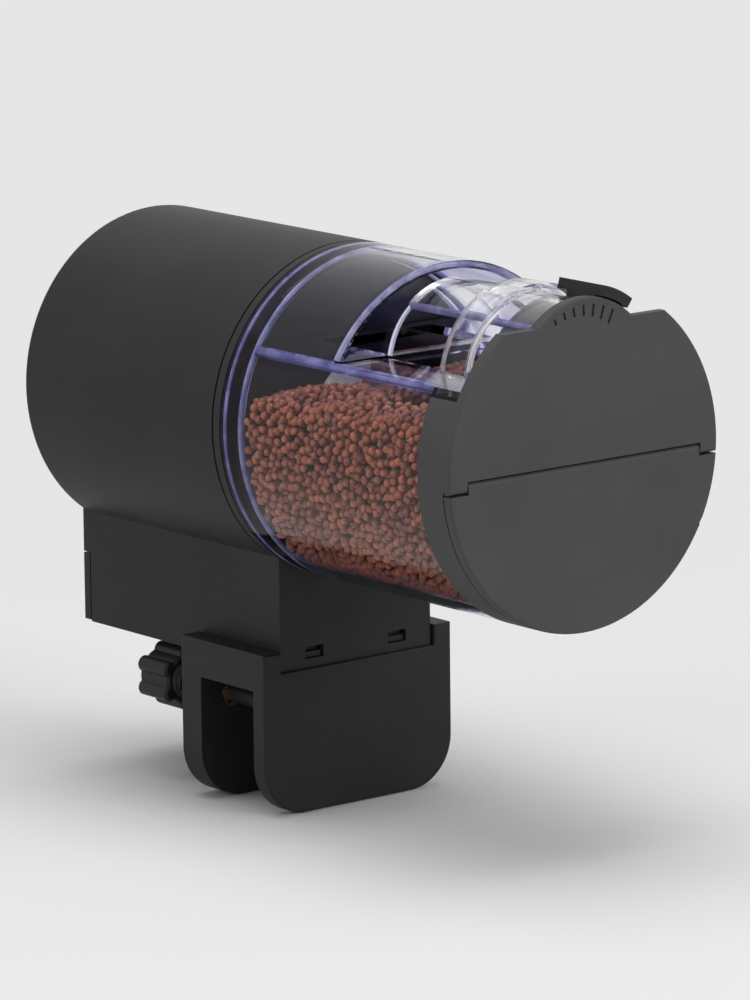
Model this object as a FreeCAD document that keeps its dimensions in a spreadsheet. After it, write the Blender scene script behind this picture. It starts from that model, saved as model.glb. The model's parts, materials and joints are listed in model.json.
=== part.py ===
"""Automatic rotating-drum feeder that clamps on a tank's rim: parametric FreeCAD document.

Frame: origin at the middle of the clamp's rim seat, +Z up, the drum's axis along Y at
axis_height, the end cap facing -Y and the control panel facing +Y. Millimetres throughout.
Depths ahead of the body (towards the cap) and behind its front plane are both counted
from front_plane. Angles about Y are counted from +Z towards +X.
"""
import FreeCAD
import Part
import Sketcher
import math
import os
import re

# name: size in millimetres, degrees or a plain count
SIZES = {
    # overall
    "drum_radius": 34.0,
    "axis_height": 55.0,
    "front_plane": 11.5,
    "body_length": 66.0,
    "drum_length": 61.9,
    "cap_depth": 9.7,
    # clearances
    "drum_gap": 0.4,
    "part_gap": 0.3,
    "running_fit": 0.05,
    "panel_fit": 0.15,
    # body shell and neck
    "shell_wall": 2.0,
    "neck_width": 39.0,
    "neck_wall": 1.6,
    "window_offset": 10.7,
    "window_width": 4.7,
    "window_low": 1.8,
    "window_height": 2.5,
    "boss_overlap": 0.2,
    "rear_round": 1.2,
    "rim_groove": 0.5,
    "groove_place": 2.0,
    # clamp bracket
    "clamp_width": 48.6,
    "plate_thickness": 3.6,
    "slot_width": 17.3,
    "front_jaw": 3.7,
    "rear_jaw": 6.6,
    "jaw_drop": 26.0,
    "jaw_corner": 10.5,
    "ear_width": 4.4,
    "ear_rise": 4.2,
    "hook_thickness": 1.6,
    "barb_height": 1.3,
    "barb_reach": 1.0,
    "edge_break": 0.5,
    # thumb screws
    "screw_offset": 16.0,
    "screw_depth": 4.4,
    "screw_radius": 1.9,
    "insert_radius": 2.8,
    "pad_radius": 2.3,
    "pad_thickness": 2.5,
    "glass_grip": 6.0,
    "screw_length": 21.8,
    "knob_length": 11.7,
    "knob_radius": 6.6,
    "lobe_radius": 1.7,
    "lobe_count": 6,
    "collar_length": 2.0,
    "stem_radius": 1.0,
    "stem_length": 3.0,
    # battery bay
    "cell_radius": 7.25,
    "cell_length": 50.5,
    "cell_offset": 7.6,
    "cell_height": 13.0,
    "cell_start": 6.5,
    "nub_radius": 2.7,
    "nub_length": 1.2,
    "spring_radius": 3.5,
    "spring_wire": 0.8,
    "contact_sheet": 0.4,
    "contact_height": 9.0,
    "bridge_width": 4.0,
    # doors, both hung on a thin pin in a rolled top edge
    "door_thickness": 2.0,
    "hinge_pin_radius": 0.5,
    "door_ear": 4.4,
    "bay_ear": 1.5,
    "bay_pin_inset": 0.5,
    "cap_pin_inset": 1.5,
    "bay_door_height": 17.0,
    # drum
    "clear_wall": 1.6,
    "rear_wall": 2.0,
    "rim_wall": 3.0,
    "rim_depth": 5.0,
    "shelf_height": 15.0,
    "shelf_thickness": 1.8,
    "bulkhead_place": 29.0,
    "bulkhead_thickness": 2.0,
    "tube_inner": 17.0,
    "tube_outer": 18.6,
    "arch_from": 50.0,
    "arch_to": 57.5,
    "mouth_width": 28.0,
    "mouth_from": 8.0,
    "mouth_to": 27.0,
    # end cap
    "cap_plate": 2.0,
    "cap_wall": 2.0,
    "cap_round": 0.5,
    "chord_height": 27.0,
    "bump_radius": 17.6,
    "bump_overlap": 5.0,
    "split_drop": 0.3,
    "boss_inner": 12.9,
    "boss_depth": 60.0,
    "tick_count": 7,
    "tick_outer": 16.2,
    "tick_short": 1.3,
    "tick_long": 3.0,
    "tick_width": 0.6,
    "tick_depth": 0.4,
    "tick_first": -29.0,
    "tick_last": 26.0,
    # portion gate
    "gate_height": 14.3,
    "gate_inner": 15.0,
    "gate_outer": 16.6,
    "gate_from": -41.0,
    "gate_to": 145.0,
    "ring_depth": 61.0,
    "lever_inner": 17.9,
    "lever_outer": 20.0,
    "lever_from": 15.0,
    "lever_to": 37.0,
    "lever_start": 58.0,
    "foot_overlap": 0.2,
    # drive
    "gear_module": 0.6,
    "pressure_angle": 20.0,
    "drum_teeth": 48,
    "idler_teeth": 24,
    "pinion_teeth": 12,
    "backlash": 0.12,
    "gear_start": 6.5,
    "gear_width": 3.0,
    "gear_side_gap": 0.5,
    "hub_flange": 11.0,
    "flange_thickness": 1.5,
    "spigot_radius": 6.0,
    "shaft_radius": 5.0,
    "gear_seat_radius": 4.0,
    "journal_radius": 3.0,
    "journal_end": 0.5,
    "bush_radius": 7.0,
    "bush_length": 5.0,
    "hub_boss": 9.5,
    "plate_place": 10.5,
    "gear_plate_thickness": 1.5,
    "gear_plate_radius": 30.5,
    "post_circle": 27.0,
    "post_radius": 3.2,
    "post_floor": 2.0,
    "plate_screw_radius": 1.25,
    "screw_head_radius": 2.5,
    "screw_head_height": 1.6,
    "axle_radius": 1.5,
    "axle_seat": 1.0,
    "axle_boss_radius": 3.2,
    "motor_radius": 10.0,
    "motor_length": 15.0,
    "motor_shaft_radius": 1.0,
    "motor_bearing_depth": 2.0,
    "motor_hole_gap": 0.6,
    "cam_radius": 7.0,
    "cam_thickness": 2.0,
    "cam_notch": 1.6,
    "notch_width": 3.0,
    "switch_width": 6.0,
    "switch_depth": 6.0,
    "switch_height": 12.0,
    "nose_length": 1.2,
    "nose_width": 1.6,
    # control panel
    "cover_recess": 1.0,
    "cover_thickness": 2.0,
    "cover_boss_radius": 3.0,
    "cover_boss_length": 24.0,
    "cover_screw_length": 9.0,
    "lcd_width": 32.0,
    "lcd_height": 15.0,
    "lcd_middle": 11.0,
    "lcd_border": 2.0,
    "lcd_pane": 1.2,
    "board_radius": 25.5,
    "board_thickness": 1.6,
    "board_depth": 4.4,
    "board_post_radius": 1.8,
    "board_post_x": 21.5,
    "board_post_z": 5.0,
    "button_radius": 3.2,
    "button_lip": 0.7,
    "button_gap": 0.2,
    "button_pitch": 11.0,
    "button_drop": 11.0,
    "button_travel": 0.8,
    "chip_side": 9.0,
    "chip_height": 1.6,
    "key_side": 6.0,
    "buzzer_x": -14.0,
    "buzzer_rise": 10.0,
    "buzzer_radius": 5.5,
    "buzzer_height": 5.0,
}
POST_ANGLES = (0, 145, 215)
COVER_ANGLES = (60, 120, 240, 300)
IDLER_ANGLE = 90.0
BUTTONS = ("set_button", "up_button", "down_button", "feed_button")

NAME = "|".join(sorted((rf"\b{name}\b" for name in SIZES), key=len, reverse=True))

doc = FreeCAD.newDocument("drum_feeder")
sheet = doc.addObject("Spreadsheet::Sheet", "dims")
nodes = []


def fill_sheet():
    """Write each driving size in the sheet and give its cell that name."""
    for row, (name, value) in enumerate(SIZES.items(), 1):
        sheet.set(f"A{row}", name)
        sheet.set(f"B{row}", str(value))
        sheet.setAlias(f"B{row}", name)
    doc.recompute()


def size(name):
    """Read one driving size back from the sheet."""
    return float(sheet.get(name))


def bind(thing, **formulas):
    """Bind properties to formulas that name the sheet's sizes; a double underscore is a dot."""
    for prop, formula in formulas.items():
        text = re.sub(NAME, r"dims.\g<0>", str(formula))
        thing.setExpression(prop.replace("__", "."), text)


def size_of(formula):
    """Work a formula out, by way of a spare cell of the sheet."""
    spare = f"D{len(SIZES) + 1}"
    sheet.set(spare, f"={formula}")
    sheet.recompute()
    return float(sheet.get(spare))


def ahead(depth):
    """Place along Y, counted from the body's front plane towards the cap."""
    return f"-front_plane - ({depth})"


def behind(depth):
    """Place along Y, counted from the body's front plane towards the panel."""
    return f"-front_plane + ({depth})"


def up(height):
    """Place along Z, counted from the drum's axis."""
    return f"axis_height + ({height})"


AXIS = up(0)
GATE = up("gate_height")
REAR = "body_length"
CAP_FRONT = "drum_length + cap_depth"
CAP_INNER = "drum_length + cap_depth - cap_plate"
INNER_RADIUS = "drum_radius - shell_wall"
GEAR_BACK = "plate_place + gear_plate_thickness"
COVER_BACK = "body_length - cover_recess - cover_thickness"
COVER_CIRCLE = f"{INNER_RADIUS} - cover_boss_radius + boss_overlap"
NECK_TOP = up("shell_wall - sqrt(drum_radius ^ 2 - (neck_width / 2) ^ 2)")
BAY_HINGE = "plate_thickness + bay_door_height - door_thickness / 2"
BAY_HINGE_Y = behind("body_length - door_thickness / 2")


# ---------------------------------------------------------------- solids and booleans
def block(name, x, y, z):
    """Box between two places on each axis."""
    box = doc.addObject("Part::Box", name)
    for letter, prop, (low, high) in zip("xyz", ("Length", "Width", "Height"), (x, y, z)):
        bind(box, **{prop: f"({high}) - ({low})", f"Placement__Base__{letter}": low})
    return box


def mirrored_blocks(name, x, y, z):
    """Two boxes, the second being the first mirrored to the other side of x = 0."""
    low, high = x
    return [block(f"{name}_right", x, y, z), block(f"{name}_left", (f"-({high})", f"-({low})"), y, z)]


def rod(name, radius, y, x="0", z=AXIS, start=0.0, sweep=360.0):
    """Cylinder along Y, or the slice of one that starts at an angle from +Z towards +X."""
    bar = doc.addObject("Part::Cylinder", name)
    lie_down = FreeCAD.Rotation(FreeCAD.Vector(1, 0, 0), -90)
    turn = FreeCAD.Rotation(FreeCAD.Vector(0, 1, 0), start - 90)
    bar.Placement = FreeCAD.Placement(FreeCAD.Vector(), turn.multiply(lie_down))
    bar.Angle = sweep
    low, high = y
    bind(bar, Radius=radius, Height=f"({high}) - ({low})",
         Placement__Base__x=x, Placement__Base__y=low, Placement__Base__z=z)
    return bar


def pin_along_x(name, radius, x, y, z):
    """Cylinder along X."""
    bar = doc.addObject("Part::Cylinder", name)
    bar.Placement = FreeCAD.Placement(FreeCAD.Vector(), FreeCAD.Rotation(FreeCAD.Vector(0, 1, 0), 90))
    low, high = x
    bind(bar, Radius=radius, Height=f"({high}) - ({low})",
         Placement__Base__x=low, Placement__Base__y=y, Placement__Base__z=z)
    return bar


def round_end(name, bar, place, radius):
    """The bar with the edge of its end at one place along Y rounded."""
    doc.recompute()
    end = size_of(place)
    rounded = doc.addObject("Part::Fillet", name)
    rounded.Base = bar
    rounded.Edges = [(number, size(radius), size(radius)) for number, edge in enumerate(bar.Shape.Edges, 1)
                     if abs(edge.BoundBox.YMin - end) + abs(edge.BoundBox.YMax - end) < 0.01]
    return rounded


def fuse(name, *pieces):
    """One solid from several."""
    joined = doc.addObject("Part::MultiFuse", name)
    joined.Shapes = list(pieces)
    joined.Refine = True
    return joined


def cut(name, base, *tools):
    """The base without the tools."""
    rest = doc.addObject("Part::Cut", name)
    rest.Base = base
    rest.Tool = tools[0] if len(tools) == 1 else fuse(f"{name}_tools", *tools)
    rest.Refine = True
    return rest


def common(name, one, other):
    """What two solids share."""
    shared = doc.addObject("Part::Common", name)
    shared.Base = one
    shared.Tool = other
    shared.Refine = True
    return shared


def tube(name, outer, inner, y, **where):
    """Round tube along Y."""
    return cut(name, rod(f"{name}_outside", outer, y, **where), rod(f"{name}_inside", inner, y, **where))


def group(name, *pieces):
    """Separate solids that share one node."""
    together = doc.addObject("Part::Compound", name)
    together.Links = list(pieces)
    return together


def keep(name, thing):
    """Label a finished sub-part with its node's name and list it for writing."""
    thing.Label = name
    nodes.append(thing)
    return thing


def on_circle(radius, angle):
    """Formulas for a point at an angle from +Z towards +X on a circle about the drum's axis."""
    turn = math.radians(angle)
    return {"x": f"({radius}) * {math.sin(turn):.6f}", "z": up(f"({radius}) * {math.cos(turn):.6f}")}


# ---------------------------------------------------------------- sketched bodies
def sketch(body, role, name, offset):
    """Sketch on one of the body's own origin planes, moved along its normal."""
    plane = next(feature for feature in body.Origin.OriginFeatures if feature.Role == role)
    drawn = body.newObject("Sketcher::SketchObject", name)
    drawn.AttachmentSupport = [(plane, "")]
    drawn.MapMode = "FlatFace"
    bind(drawn, AttachmentOffset__Base__z=offset)
    return drawn


def fix(drawn, element, point, across, upward):
    """Tie one point of a sketch to two formulas."""
    for kind, formula in (("DistanceX", across), ("DistanceY", upward)):
        number = drawn.addConstraint(Sketcher.Constraint(kind, -1, 1, element, point, 1.0))
        bind(drawn, **{f"Constraints[{number}]": formula})


def draw_circle(drawn, across, upward, radius):
    """Circle tied to its middle and its radius."""
    ring = drawn.addGeometry(Part.Circle(FreeCAD.Vector(), FreeCAD.Vector(0, 0, 1), 1.0), False)
    fix(drawn, ring, 3, across, upward)
    number = drawn.addConstraint(Sketcher.Constraint("Radius", ring, 1.0))
    bind(drawn, **{f"Constraints[{number}]": radius})


def draw_outline(drawn, points):
    """Closed outline of straight lines tied to its corners."""
    count = len(points)
    spots = [FreeCAD.Vector(math.cos(6.28 * k / count), math.sin(6.28 * k / count), 0) for k in range(count)]
    lines = [drawn.addGeometry(Part.LineSegment(spots[k], spots[(k + 1) % count]), False)
             for k in range(count)]
    for k in range(count):
        drawn.addConstraint(Sketcher.Constraint("Coincident", lines[k], 2, lines[(k + 1) % count], 1))
    for line, (across, upward) in zip(lines, points):
        fix(drawn, line, 1, across, upward)


def draw_box(drawn, across, upward):
    """Rectangle between two places each way."""
    (left, right), (low, high) = across, upward
    draw_outline(drawn, [(left, low), (right, low), (right, high), (left, high)])


def pad(body, name, drawn, **settings):
    """Extrude a sketch and recompute, so that later features can read the result."""
    added = body.newObject("PartDesign::Pad", name)
    added.Profile = drawn
    bind(added, **settings)
    doc.recompute()
    return added


def pocket(body, name, drawn, **settings):
    """Cut a sketch away and make sure that it took material."""
    before = body.Shape.Volume
    taken = body.newObject("PartDesign::Pocket", name)
    taken.Profile = drawn
    bind(taken, **settings)
    doc.recompute()
    if body.Shape.Volume >= before:
        raise RuntimeError(f"{name} took nothing away")
    return taken


def edges_where(shape, test):
    """Names of the edges whose middle and direction pass a test."""
    names = []
    for number, edge in enumerate(shape.Edges, 1):
        middle = edge.valueAt((edge.FirstParameter + edge.LastParameter) / 2)
        if test(edge, middle):
            names.append(f"Edge{number}")
    return names


# ---------------------------------------------------------------- body shell and clamp
def body_shell():
    """Barrel with its front wall, the neck that holds the cells, and the bosses inside."""
    bay_door_place = "body_length - door_thickness - part_gap"
    half_neck = "neck_width / 2"
    bay_half = "neck_width / 2 - neck_wall"
    barrel = round_end("barrel_rounded", rod("barrel", "drum_radius", (behind(0), behind(REAR))),
                       behind(REAR), "rear_round")
    groove = tube("shadow_groove", "drum_radius + 1", "drum_radius - rim_groove",
                  (behind("groove_place"), behind("groove_place + rim_groove")))
    neck = block("neck", (f"-{half_neck}", half_neck), (behind(0), behind(REAR)),
                 ("plate_thickness", NECK_TOP))
    hook_across = ("window_offset - window_width / 2", "window_offset + window_width / 2")
    hollow = cut(
        "shell_hollow", fuse("shell_outside", cut("barrel_grooved", barrel, groove), neck),
        rod("barrel_space", INNER_RADIUS, (behind("shell_wall"), behind("body_length + 1"))),
        block("bay_space", (f"-({bay_half})", bay_half), (behind("neck_wall"), behind("body_length + 1")),
              ("plate_thickness + neck_wall", up("-drum_radius"))),
        *door_space(bay_door_place, half_neck),
        *mirrored_blocks("hook_window", hook_across, (behind(-1), behind("neck_wall + 1")),
                         ("plate_thickness + window_low", "plate_thickness + window_low + window_height")),
        *mirrored_blocks("hook_slot", hook_across,
                         (behind("neck_wall"), behind("neck_wall + hook_thickness + part_gap")),
                         ("plate_thickness - 1", "plate_thickness + neck_wall + 1")))
    bosses = [rod("hub_boss", "hub_boss", (behind("shell_wall"), behind("bush_length"))),
              rod("axle_boss", "axle_boss_radius",
                  (behind("shell_wall"), behind("gear_start - gear_side_gap")), **idler_place())]
    holes = [rod("hub_hole", "bush_radius", (behind(-1), behind("bush_length + 1"))),
             rod("axle_hole", "axle_radius", (behind("axle_seat"), behind("gear_start")), **idler_place())]
    for number, angle in enumerate(POST_ANGLES):
        spot = on_circle("post_circle", angle)
        bosses.append(rod(f"gear_post_{number}", "post_radius", (behind("shell_wall"), behind("plate_place")),
                          **spot))
        holes.append(rod(f"gear_post_hole_{number}", "plate_screw_radius",
                         (behind("shell_wall + post_floor"), behind("plate_place + 1")), **spot))
    for number, angle in enumerate(COVER_ANGLES):
        spot = on_circle(COVER_CIRCLE, angle)
        bosses.append(rod(f"cover_boss_{number}", "cover_boss_radius",
                          (behind(f"{COVER_BACK} - cover_boss_length"), behind(COVER_BACK)), **spot))
        holes.append(rod(f"cover_boss_hole_{number}", "plate_screw_radius",
                         (behind(f"{COVER_BACK} - cover_screw_length"), behind(f"{COVER_BACK} + 1")),
                         **spot))
    solid = fuse("shell_solid", hollow, *bosses)
    return keep("body_shell", cut("body_shell", solid, *holes))


def door_space(place, half_neck):
    """Room at the neck's end for the bay's door, leaving an ear each side for its pin."""
    top = "plate_thickness + bay_door_height + part_gap"
    ear_low = "plate_thickness + bay_door_height - door_thickness - part_gap"
    whole = block("bay_door_room", (f"-{half_neck} - 1", f"{half_neck} + 1"),
                  (behind(place), behind("body_length + 1")), ("plate_thickness - 1", ear_low))
    middle = block("bay_door_head", (f"-({half_neck} - bay_ear)", f"{half_neck} - bay_ear"),
                   (behind(place), behind("body_length + 1")), ("plate_thickness - 1", top))
    bore = pin_along_x("bay_pin_bore", "hinge_pin_radius",
                       (f"-{half_neck} + bay_pin_inset", f"{half_neck} - bay_pin_inset"),
                       BAY_HINGE_Y, BAY_HINGE)
    return whole, middle, bore


def edge_is_bore(edge):
    """True for a whole circle, such as the mouth of a round hole."""
    return isinstance(edge.Curve, Part.Circle) and edge.isClosed()


def clamp_bracket():
    """Inverted U that sits on the tank's rim, with ears beside the neck and two snap hooks."""
    body = doc.addObject("PartDesign::Body", "clamp_bracket")
    front = "-(slot_width / 2 + front_jaw)"
    back = "slot_width / 2 + rear_jaw"
    profile = sketch(body, "YZ_Plane", "clamp_profile", "0")
    draw_outline(profile, [
        (front, "-jaw_drop"), ("-slot_width / 2", "-jaw_drop"), ("-slot_width / 2", "0"),
        ("slot_width / 2", "0"), ("slot_width / 2", "-jaw_drop"), (back, "-jaw_drop"),
        (back, "plate_thickness + ear_rise"), (front, "plate_thickness + ear_rise")])
    clamp = pad(body, "clamp_solid", profile, Length="clamp_width")
    clamp.Midplane = True
    doc.recompute()

    notch = sketch(body, "XZ_Plane", "neck_notch", "slot_width / 2 + front_jaw + 1")
    draw_box(notch, ("-(clamp_width / 2 - ear_width)", "clamp_width / 2 - ear_width"),
             ("plate_thickness", "plate_thickness + ear_rise + 1"))
    pocket(body, "neck_notch_cut", notch, Length="slot_width + front_jaw + rear_jaw + 2")

    holes = sketch(body, "XZ_Plane", "insert_holes", "-slot_width / 2")
    for side in ("-", ""):
        draw_circle(holes, f"{side}screw_offset", "-screw_depth", "insert_radius")
    pocket(body, "insert_holes_cut", holes, Length="rear_jaw + 1")

    post = sketch(body, "XZ_Plane", "hook_posts", f"-({behind('neck_wall + hook_thickness')})")
    barb = sketch(body, "XZ_Plane", "hook_barbs", f"-({behind('neck_wall')})")
    reach = "window_width / 2 - part_gap"
    top = "plate_thickness + window_low + window_height - part_gap"
    for side in (-1, 1):
        across = (f"{side} * window_offset - ({reach})", f"{side} * window_offset + {reach}")
        draw_box(post, across, ("plate_thickness - 1", top))
        draw_box(barb, across, ("plate_thickness + window_low + panel_fit",
                                "plate_thickness + window_low + barb_height"))
    pad(body, "hook_posts_solid", post, Length="hook_thickness")
    pad(body, "hook_barbs_solid", barb, Length="barb_reach")

    drop = size("jaw_drop")
    half = size("clamp_width") / 2
    corners = edges_where(body.Shape, lambda edge, mid: abs(mid.z + drop) < 0.01
                          and abs(abs(mid.x) - half) < 0.01)
    blank = body.Tip
    rounded = body.newObject("PartDesign::Fillet", "jaw_corners")
    rounded.Base = (blank, corners)
    bind(rounded, Radius="jaw_corner")
    doc.recompute()
    faces = (-size("slot_width") / 2 - size("front_jaw"), size("slot_width") / 2 + size("rear_jaw"))
    rims = edges_where(body.Shape, lambda edge, mid: edge.BoundBox.YLength < 0.01
                       and min(abs(mid.y - place) for place in faces) < 0.01
                       and not edge_is_bore(edge))
    eased = body.newObject("PartDesign::Fillet", "clamp_edges")
    eased.Base = (rounded, rims)
    bind(eased, Radius="edge_break")
    doc.recompute()
    body.Tip = eased
    return keep("clamp_bracket", body)


def clamp_inserts():
    """Threaded brass inserts in the rear jaw, one for each thumb screw."""
    rings = [tube(f"insert_{label}", "insert_radius", "screw_radius + running_fit",
                  ("slot_width / 2", "slot_width / 2 + rear_jaw"),
                  x=f"{side} * screw_offset", z="-screw_depth")
             for label, side in (("left", -1), ("right", 1))]
    return keep("clamp_inserts", group("clamp_inserts", *rings))


def thumb_screw(label, side):
    """Star knob on a threaded shaft, with a blind bore in its tip for the pad's stem."""
    body = doc.addObject("PartDesign::Body", f"thumb_screw_{label}")
    where = (f"{side} * screw_offset", "-screw_depth")
    tip = "-slot_width / 2 + glass_grip + pad_thickness + part_gap"
    shaft = sketch(body, "XZ_Plane", f"shaft_{label}", "-(screw_length + 1)")
    draw_circle(shaft, *where, "screw_radius")
    pad(body, f"shaft_solid_{label}", shaft, Length=f"screw_length + 1 - ({tip})")
    collar = sketch(body, "XZ_Plane", f"collar_{label}", "-(screw_length + collar_length)")
    draw_circle(collar, *where, "knob_radius * 0.55")
    pad(body, f"collar_solid_{label}", collar, Length="collar_length")
    core = sketch(body, "XZ_Plane", f"core_{label}", "-(screw_length + knob_length)")
    draw_circle(core, *where, "knob_radius - lobe_radius * 0.8")
    pad(body, f"core_solid_{label}", core, Length="knob_length - collar_length")
    for number in range(int(size("lobe_count"))):
        turn = 2 * math.pi * number / size("lobe_count")
        reach = "(knob_radius - lobe_radius)"
        lobe = sketch(body, "XZ_Plane", f"lobe_{label}_{number}", "-(screw_length + knob_length)")
        draw_circle(lobe, f"{where[0]} + {reach} * {math.sin(turn):.6f}",
                    f"{where[1]} + {reach} * {math.cos(turn):.6f}", "lobe_radius")
        pad(body, f"lobe_solid_{label}_{number}", lobe, Length="knob_length - collar_length")
    bore = sketch(body, "XZ_Plane", f"stem_bore_{label}", f"-({tip} - 1)")
    draw_circle(bore, *where, "stem_radius + running_fit")
    pocket(body, f"stem_bore_cut_{label}", bore, Length="stem_length + part_gap + 1")
    blank = body.Tip
    ends = (-size("screw_length") - size("knob_length"), -size("screw_length") - size("collar_length"))
    rims = edges_where(body.Shape, lambda edge, mid: edge.BoundBox.YLength < 0.01
                       and min(abs(mid.y + place) for place in ends) < 0.01
                       and edge.Length < size("knob_radius") * 2)
    eased = body.newObject("PartDesign::Chamfer", f"knob_edges_{label}")
    eased.Base = (blank, rims)
    bind(eased, Size="edge_break")
    doc.recompute()
    body.Tip = eased
    return keep(f"thumb_screw_{label}", body)


def clamp_pad(label, side):
    """Round pad that presses on the glass, with the stem that the screw turns on."""
    where = {"x": f"{side} * screw_offset", "z": "-screw_depth"}
    face = "-slot_width / 2 + glass_grip"
    disc = rod(f"pad_disc_{label}", "pad_radius", (face, f"{face} + pad_thickness"), **where)
    stem = rod(f"pad_stem_{label}", "stem_radius", (face, f"{face} + pad_thickness + stem_length"), **where)
    return keep(f"clamp_pad_{label}", fuse(f"clamp_pad_{label}", disc, stem))


# ---------------------------------------------------------------- battery bay
def battery_cells():
    """Two pencil cells side by side, lying head to tail."""
    for label, side, nub_at_rear in (("left", -1, True), ("right", 1, False)):
        where = {"x": f"{side} * cell_offset", "z": "cell_height"}
        start = "cell_start" if nub_at_rear else "cell_start + nub_length"
        end = "cell_start + cell_length - nub_length" if nub_at_rear else "cell_start + cell_length"
        can = rod(f"can_{label}", "cell_radius", (behind(start), behind(end)), **where)
        nub = rod(f"nub_{label}", "nub_radius",
                  (behind("cell_start"), behind("cell_start + cell_length")), **where)
        keep(f"battery_cell_{label}", fuse(f"battery_cell_{label}", can, nub))


def contact(name, side, sheet_y, coil_y):
    """Sheet with a coil spring's outer shape standing on it."""
    where = {"x": f"{side} * cell_offset", "z": "cell_height"}
    half = "contact_height / 2"
    leaf = block(f"{name}_leaf", (f"{side} * cell_offset - {half}", f"{side} * cell_offset + {half}"),
                 sheet_y, (f"cell_height - {half}", f"cell_height + {half}"))
    coil = tube(f"{name}_coil", "spring_radius", "spring_radius - spring_wire", coil_y, **where)
    return fuse(name, leaf, coil)


def battery_contacts():
    """Contacts on the bay's front wall, and the bridge that joins the cells at the door."""
    fixed = [contact(f"front_contact_{side}", side,
                     (behind("neck_wall"), behind("neck_wall + contact_sheet")),
                     (behind("neck_wall + contact_sheet"), behind("cell_start")))
             for side in (-1, 1)]
    keep("front_contacts", group("front_contacts", *fixed))
    door_face = "body_length - door_thickness"
    bridge = [contact(f"bridge_contact_{side}", side,
                      (behind(f"{door_face} - contact_sheet"), behind(door_face)),
                      (behind("cell_start + cell_length + part_gap"), behind(f"{door_face} - contact_sheet")))
              for side in (-1, 1)]
    strip = block("bridge_strip", ("-cell_offset", "cell_offset"),
                  (behind(f"{door_face} - contact_sheet"), behind(door_face)),
                  ("cell_height - bridge_width / 2", "cell_height + bridge_width / 2"))
    keep("bridge_contact", fuse("bridge_contact", strip, *bridge))


def battery_door():
    """Lid over the neck's rear end, hung on a pin along its rolled top edge."""
    half = "neck_width / 2"
    y = (behind("body_length - door_thickness"), behind("body_length"))
    shoulder = "plate_thickness + bay_door_height - door_thickness - 2 * part_gap"
    leaf = block("bay_door_leaf", (f"-{half}", half), y, ("plate_thickness + part_gap", shoulder))
    span = (f"-({half} - bay_ear - part_gap)", f"{half} - bay_ear - part_gap")
    head = block("bay_door_head_leaf", span, y, ("plate_thickness + part_gap", BAY_HINGE))
    roll = pin_along_x("bay_door_roll", "door_thickness / 2", span, BAY_HINGE_Y, BAY_HINGE)
    bore = pin_along_x("bay_door_bore", "hinge_pin_radius + running_fit", (f"-{half}", half), BAY_HINGE_Y,
                       BAY_HINGE)
    keep("battery_door", cut("battery_door", fuse("bay_door_solid", leaf, head, roll), bore))
    keep("battery_door_pin", pin_along_x("battery_door_pin", "hinge_pin_radius",
                                         (f"-{half} + bay_pin_inset", f"{half} - bay_pin_inset"),
                                         BAY_HINGE_Y, BAY_HINGE))


# ---------------------------------------------------------------- drum
def drum_wall(name):
    """Clear wall of the drum with its rear end, open at the top in front of the bulkhead."""
    shelf_top = up("shelf_height + shelf_thickness")
    return cut(
        name, rod(f"{name}_outside", "drum_radius", (ahead("drum_length"), ahead("drum_gap"))),
        rod(f"{name}_space", "drum_radius - clear_wall", (ahead("drum_length + 1"), ahead("rim_depth"))),
        rod(f"{name}_rim_space", "drum_radius - rim_wall", (ahead("rim_depth + 1"), DRUM_BACK)),
        rod(f"{name}_hub_hole", "spigot_radius", (DRUM_BACK, ahead("0"))),
        block(f"{name}_open_top", ("-drum_radius - 1", "drum_radius + 1"),
              (ahead("drum_length + 1"), BULKHEAD[0]), (shelf_top, up("drum_radius + 1"))))


DRUM_BACK = ahead("drum_gap + rear_wall")
BULKHEAD = (ahead("bulkhead_place + bulkhead_thickness"), ahead("bulkhead_place"))


def drum_partition():
    """Clear insert that fills the drum: shelf, arched bulkhead, and the tube that the gate turns in."""
    wide = ("-drum_radius", "drum_radius")
    shelf_top = up("shelf_height + shelf_thickness")
    ceiling = up("drum_radius + 1")
    shelf_y = (ahead(CAP_INNER), DRUM_BACK)
    trough_y = (ahead(CAP_INNER), BULKHEAD[1])
    doorway_y = (ahead("bulkhead_place + bulkhead_thickness + 1"), ahead("bulkhead_place - 1"))
    shelf = common("shelf", rod("shelf_disc", "drum_radius", shelf_y),
                   block("shelf_slab", wide, shelf_y, (up("shelf_height"), shelf_top)))
    arch = common("bulkhead", rod("bulkhead_disc", "drum_radius", BULKHEAD),
                  block("bulkhead_half", wide, BULKHEAD, (shelf_top, ceiling)))
    trough = common("trough", rod("trough_pipe", "tube_outer", trough_y, z=GATE),
                    block("trough_half", wide, trough_y, (up("shelf_height - 2 * tube_outer"), shelf_top)))
    hoop = rod("gate_hoop", "tube_outer", (ahead("arch_to"), ahead("arch_from")), z=GATE)
    solid = fuse("partition_solid", shelf, arch, trough, hoop)
    gate_room = rod("gate_room", "tube_inner", (ahead(f"{CAP_INNER} + 1"), BULKHEAD[0]), z=GATE)
    doorway = common("doorway", rod("doorway_disc", "gate_inner", doorway_y, z=GATE),
                     block("doorway_half", wide, doorway_y, (shelf_top, ceiling)))
    mouth = block("shelf_mouth", ("-mouth_width / 2", "mouth_width / 2"),
                  (ahead("mouth_to"), ahead("mouth_from")),
                  (up("shelf_height - 1"), up("shelf_height + shelf_thickness + 1")))
    return keep("drum_partition", cut("drum_partition", solid, gate_room, doorway, mouth,
                                      drum_wall("partition_seat")))


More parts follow.
